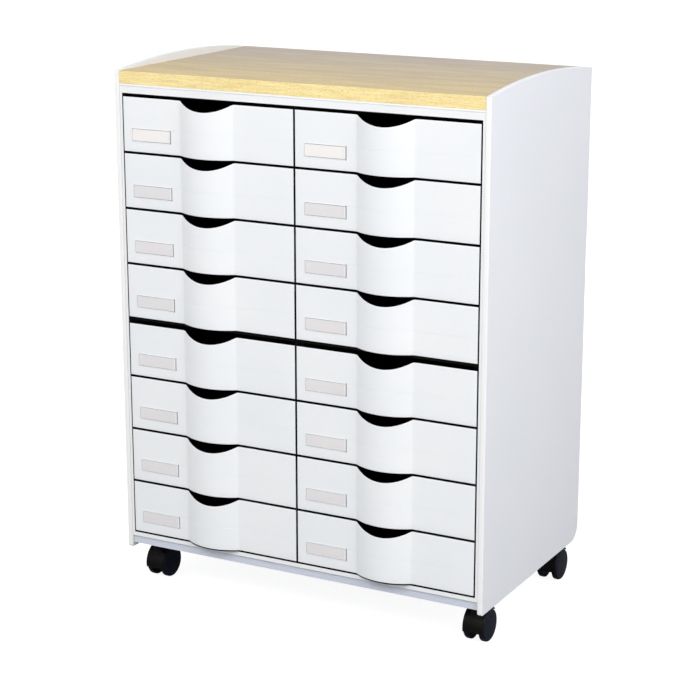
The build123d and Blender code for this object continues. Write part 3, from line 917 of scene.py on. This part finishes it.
# %% [markdown]
# Each side panel is a coated board whose top edge is a shallow arc. Seen from the side it is an
# outline: level foot, rounded lower corners, upright edges and the arc. A small quarter round is
# carried along both rims, because a board's edge is never a perfect knife edge. The inner face is
# painted creamier and darker than the outer one: painted shade on the same coating, where it shows
# above the wood. So its finish reads the place along X and changes colour within the rounding of
# the rim.

# %% Inner faces of the side panels: painted shade
# Painted shade: the inner faces take a darker, creamier colour than the outer ones.
inner_shade_colour = (0.765, 0.76, 0.735, 1)
inner_blend = 0.4 * mm


def shade_inner_faces(material, colour, half_width):
    """A second colour, painted shade, up to a distance from the middle plane, with a soft end."""
    tree = material.node_tree
    outer = tree.nodes["Principled BSDF"].inputs["Base Color"]
    where = tree.nodes.new("ShaderNodeTexCoord").outputs["Object"]
    across = add_node(tree, "ShaderNodeSeparateXYZ", {"Vector": where}).outputs["X"]
    away = add_node(tree, "ShaderNodeMath", {0: across}, operation="ABSOLUTE").outputs["Value"]
    inner = spread(tree, away, half_width + inner_blend, half_width)
    tree.links.new(mixed(tree, inner, outer.links[0].from_socket, colour), outer)


inner_half_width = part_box("side_panel_right")[0].x
shade_inner_faces(panel_coating, inner_shade_colour, inner_half_width + inner_blend)
print("inner faces at", round(inner_half_width, 4), "m from the middle")

# %% Side panels
panel_round = 1.0 * mm
front_corner = 4.0 * mm
rear_corner = 25.0 * mm
arc_rise = 12.0 * mm


def panel_outline(front, rear, foot, shoulder):
    """The counterclockwise outline in Y and Z: foot, rear edge, arc and front edge."""
    half = (rear - front) / 2
    radius = (half**2 + arc_rise**2) / (2 * arc_rise)
    centre = ((front + rear) / 2, shoulder + arc_rise - radius)
    swing = math.degrees(math.asin(half / radius))
    return np.concatenate([
        arc((front + front_corner, foot + front_corner), front_corner, 180, 270, 8),
        arc((rear - rear_corner, foot + rear_corner), rear_corner, -90, 0, 20),
        arc(centre, radius, 90 - swing, 90 + swing, 60),
    ])


quarter = np.radians(np.linspace(0, 90, 5))
round_inset = panel_round * (1 - np.sin(quarter))
round_level = panel_round * (1 - np.cos(quarter))
for side in ("left", "right"):
    low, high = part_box(f"side_panel_{side}")
    ring = panel_outline(low.y, high.y, low.z, high.z - arc_rise)
    profile = np.concatenate([
        np.stack([round_inset, low.x + round_level], axis=1),
        np.stack([round_inset, high.x - round_level], axis=1)[::-1],
    ])
    piece = new_piece(f"panel_skin_{side}", carried(ring, profile, x_up), panel_coating, "cabinet")
    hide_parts(f"side_panel_{side}")
print("panel outline:", len(ring), "points")

# %% [markdown]
# A caster wheel is a moulded disc with a rounded tread. The outer face is slightly domed, with a
# fine groove where the tread ring meets the cap. The outline is a circle and the profile runs from
# the inner face, over the tread, to the middle of the dome, so each wheel closes at its two ends.

# %% Wheels
wheel_inner_round = 1.2 * mm
wheel_outer_round = 3.0 * mm
wheel_dome = 0.8 * mm
cap_groove_radius = 21.2 * mm
cap_groove_depth = 0.25 * mm
cap_groove_width = 0.5 * mm
hub_point = 0.3 * mm
wheel_segments = 96


def wheel_profile(width, radius):
    """Inset from the tread and place along the axle: inner face, tread, shoulder and dome.

    The roundings are quarter circles. The dome is a parabola, less a bell curve for the groove.
    """
    turn = np.radians(np.linspace(90, 0, 6))
    inner = np.stack([
        wheel_inner_round * (1 - np.cos(turn)), wheel_inner_round * (1 - np.sin(turn))], axis=1)
    turn = np.radians(np.linspace(0, 90, 9))
    flat = width - wheel_dome
    outer = np.stack([
        wheel_outer_round * (1 - np.cos(turn)),
        flat - wheel_outer_round * (1 - np.sin(turn))], axis=1)
    cap_radius = radius - wheel_outer_round
    reach = np.linspace(cap_radius, hub_point, 40)[1:]
    dome = wheel_dome * (1 - (reach / cap_radius) ** 2)
    dome = dome - cap_groove_depth * np.exp(-((reach - cap_groove_radius) / cap_groove_width) ** 2)
    cap = np.stack([radius - reach, flat + dome], axis=1)
    middle = np.array([[radius - hub_point, 0.0]])
    return np.concatenate([middle, inner, outer, cap])


for name in [n for n in nodes if n.startswith("wheel_")]:
    low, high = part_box(name)
    hub_low, hub_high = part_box("caster_hood_" + "_".join(name.split("_")[1:3]))
    radius = (high.z - low.z) / 2
    points, faces, caps = carried(
        circle(radius, wheel_segments), wheel_profile(high.x - low.x, radius), x_up)
    if (low.x + high.x) < (hub_low.x + hub_high.x):
        points = points * np.array([-1, -1, 1]) + np.array([high.x, 0, 0])
    else:
        points = points + np.array([low.x, 0, 0])
    points = points + np.array([0, (low.y + high.y) / 2, (low.z + high.z) / 2])
    piece = new_piece(f"wheel_skin_{name.removeprefix('wheel_')}", (points, faces, caps),
                      wheel_plastic, name)
    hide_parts(name)
print("wheel:", len(points), "points")

# %% [markdown]
# The caster hoods are true CAD shapes: an arch over the wheels, a web between them and a neck. Only
# their shading needs help, because CAD curves arrive as separate flat triangles. A merged copy is
# shaded smooth across the curves and stays crisp at the edges.

# %% Clean copy of a CAD piece


def smooth_copy(name, node_name, material, body, sharp_angle=30):
    """A CAD piece's mesh with its loose triangles merged, and its curves shaded smooth."""
    mesh = nodes[node_name].data.copy()
    mesh.name = name
    work = bmesh.new()
    work.from_mesh(mesh)
    bmesh.ops.remove_doubles(work, verts=work.verts, dist=1e-6)
    work.to_mesh(mesh)
    work.free()
    mesh.polygons.foreach_set("use_smooth", np.ones(len(mesh.polygons), bool))
    mesh.set_sharp_from_angle(angle=math.radians(sharp_angle))
    mesh.materials.clear()
    mesh.materials.append(material)
    piece = bpy.data.objects.new(name, mesh)
    scene.collection.objects.link(piece)
    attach(piece, body)
    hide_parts(node_name)
    return piece


print("CAD copies can be made smooth")

# %% Caster hoods
for name in [n for n in nodes if n.startswith("caster_hood_")]:
    place = name.removeprefix("caster_hood_")
    hood = smooth_copy(f"hood_skin_{place}", name, hood_plastic, f"caster_{place}")
print("hoods: 4, with", len(hood.data.polygons), "faces each")

# %% [markdown]
# Each drawer housing ends in a thin black rim just behind the drawer fronts. It is painted shade:
# it stops the light that enters between a front and the white sleeve, so the lines round the
# drawers stay black, as they look in shade.

# %% Housing rims: painted shade
shade_rim_wall = 2.0 * mm
shade_rim_front = 3.3 * mm
shade_rim_soft = 0.4 * mm
lip_clearance = 2.4 * mm
for name in [n for n in nodes if n.startswith("housing_")]:
    low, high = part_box(name)
    top = high.z - (lip_clearance if "upper" in name else 0)
    ring = np.array([(low.z, low.x), (top, low.x), (top, high.x), (low.z, high.x)])
    near = front_face + shade_rim_front
    profile = [(0, low.y), (0, near + shade_rim_soft), (shade_rim_soft, near), (shade_rim_wall - shade_rim_soft, near),
               (shade_rim_wall, near + shade_rim_soft), (shade_rim_wall, low.y)]
    piece = new_piece(f"housing_shade_rim_{name.removeprefix('housing_')}",
                      carried(ring, profile[::-1], y_up, closed=True), black_plastic, "cabinet")
print("housing rims: 4")

# %% [markdown]
# Between the housings and the white sleeve there is a narrow gap that would let light in. A thin
# black lining on the sleeve's two walls and floor closes it, just behind the fronts' faces: painted
# shade over white walls that are only in shade.

# %% Black lining of the sleeve's mouth: painted shade
sleeve_low, sleeve_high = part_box("carcass_sleeve")
housing_low, housing_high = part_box("housing_lower_left")[0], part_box("housing_upper_right")[1]
lining = 0.5 * mm
lining_gap = 0.1 * mm
lining_setback = 0.4 * mm
floor_levels = (0.02 * mm, 0.3 * mm)
lining_front = sleeve_low.y + lining_setback
wall_in = housing_high.x + lining_gap
lining_top = housing_high.z - lip_clearance
walls = [
    block((side - lining / 2, lining_front, housing_low.z + lining_gap),
          (side + lining / 2, housing_low.y, lining_top))
    for side in (-wall_in - lining / 2, wall_in + lining / 2)
]
lining_floor = block(
    (-wall_in + lining_gap, lining_front, housing_low.z + floor_levels[0]),
    (wall_in - lining_gap, front_face + shade_rim_front - lining_gap, housing_low.z + floor_levels[1]))
piece = new_piece("sleeve_shade_lining", joined(*walls, lining_floor), black_plastic, "cabinet")
print("lining from y", round(lining_front, 4))

# %% [markdown]
# Just under the wood a narrow bright strip runs across the sleeve: the edging of the roof board,
# which stands a hair proud of the rest. Its outline is a small rounded rectangle carried along X.

# %% Strip under the wood
strip_height = 2.6 * mm
strip_proud = 0.5 * mm
strip_back = 0.02 * mm
strip_round = 0.2 * mm
strip_gap = 0.1 * mm
strip_top = sleeve_high.z - 2 * strip_gap
strip_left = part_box("side_panel_left")[1].x + strip_gap
ring = rounded_rectangle((sleeve_low.y - strip_proud, strip_top - strip_height),
                         (sleeve_low.y - strip_back, strip_top), strip_round)
strip = carried(ring, [(0, strip_left), (0, -strip_left)], x_up)
piece = new_piece("sleeve_strip", strip, sleeve_edging, "cabinet")
print("strip", round(-2 * strip_left, 4), "m long")

# %% [markdown]
# A drawer's tray is one thin moulding with rounded corners. Its outline is carried up the outside,
# over a soft rim and down the inside to the floor, with a fillet at the foot. The front and back
# walls are lower than the sides, so after the carrying, each wall is squeezed to its own height,
# with a smooth dip beside each corner. A rib under the floor stops a drawer that is pulled out.

# %% Outline of a tray
tray_corner = 6.0 * mm
dip_length = 5.0 * mm


def tray_outline(half, front, rear):
    """A counterclockwise rounded outline with extra points where the front and back walls dip."""
    dip = np.linspace(0, dip_length, 7)[1:]
    inner = half - tray_corner
    edge = np.concatenate([-inner + dip, (inner - dip)[::-1]])
    turn = tray_corner
    return np.concatenate([
        arc((-inner, front + turn), turn, 180, 270, 7),
        np.stack([edge, np.full(len(edge), front)], axis=1),
        arc((inner, front + turn), turn, -90, 0, 7),
        arc((inner, rear - turn), turn, 0, 90, 7),
        np.stack([edge[::-1], np.full(len(edge), rear)], axis=1),
        arc((-inner, rear - turn), turn, 90, 180, 7),
    ])


print("tray corners", tray_corner, "m, dips", dip_length, "m long")

# %% Surface of a tray
tray_wall = 1.8 * mm
tray_lift = 1.4 * mm
tray_floor = tray_lift + 1.8 * mm
foot_round = 1.2 * mm
inner_fillet = 2.5 * mm
soft_rim = 0.9 * mm
low_front = 58.0 * mm
low_back = 66.0 * mm
squeeze_start = tray_lift + 5 * mm
wall_zone = 4 * mm


def tray_shell(half, front, rear, height):
    """The tray about its own middle, the front's face and the front's foot.

    Above the start of the squeeze, a point keeps its share of the way up, and the way up is
    shorter by the wall's drop: steps along x and y say where each wall is.
    """
    turn = np.radians(np.linspace(0, 90, 4))
    outer = np.stack([foot_round * (1 - np.sin(turn)),
                      tray_lift + foot_round * (1 - np.cos(turn))], axis=1)
    over = np.radians(np.linspace(0, 180, 7))
    rim = np.stack([tray_wall / 2 - soft_rim * np.cos(over),
                    height - soft_rim + soft_rim * np.sin(over)], axis=1)
    inner = np.stack([tray_wall + inner_fillet * (1 - np.cos(turn)),
                      tray_floor + inner_fillet * (1 - np.sin(turn))], axis=1)
    points, faces, caps = carried(
        tray_outline(half, front, rear), np.concatenate([outer, rim, inner]))
    x, y, z = points.T
    between = 1 - step(np.abs(x), half - tray_corner - dip_length / 2, dip_length)
    at_front = 1 - step(y, front + wall_zone, 1 * mm)
    at_back = step(y, rear - wall_zone, 1 * mm)
    full = height - tray_lift
    drop = between * (at_front * (full - low_front) + at_back * (full - low_back))
    share = (z - squeeze_start) / (height - squeeze_start)
    squeezed = squeeze_start + share * (height - drop - squeeze_start)
    return np.stack([x, y, np.where(share > 0, squeezed, z)], axis=1), faces, caps


tray_low, tray_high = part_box("drawer_tray_left_1")
tray = tray_shell((tray_high.x - tray_low.x) / 2, front_thickness, tray_high.y - front_face,
                  tray_high.z - front_low.z)
print("tray:", len(tray[0]), "points")

# %% Place the trays, each with its stop rib
stop_half = 131.5 * mm
stop_front = 274.4 * mm
stop_thickness = 3.0 * mm
stop_drop = 2.0 * mm
stop_rib = block((-stop_half, stop_front, tray_lift - stop_drop),
                 (stop_half, stop_front + stop_thickness, tray_lift))
for name in drawer_names:
    low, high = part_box(f"drawer_tray_{name}")
    place = np.array([(low.x + high.x) / 2, front_face, high.z - (tray_high.z - front_low.z)])
    body = f"drawer_{name}"
    piece = new_piece(f"tray_shell_{name}", moved(tray, place), tray_plastic, body)
    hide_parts(f"drawer_tray_{name}")
    rib = new_piece(f"stop_rib_{name}", moved(stop_rib, place), tray_plastic, body)
print("trays placed:", len(drawer_names))

# %% [markdown]
# The last lines print the dressed model's box, so that it can be set against the CAD box printed at
# the start.

# %% Finish
low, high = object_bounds()
print("visual box", [round(v, 4) for v in low], [round(v, 4) for v in high])
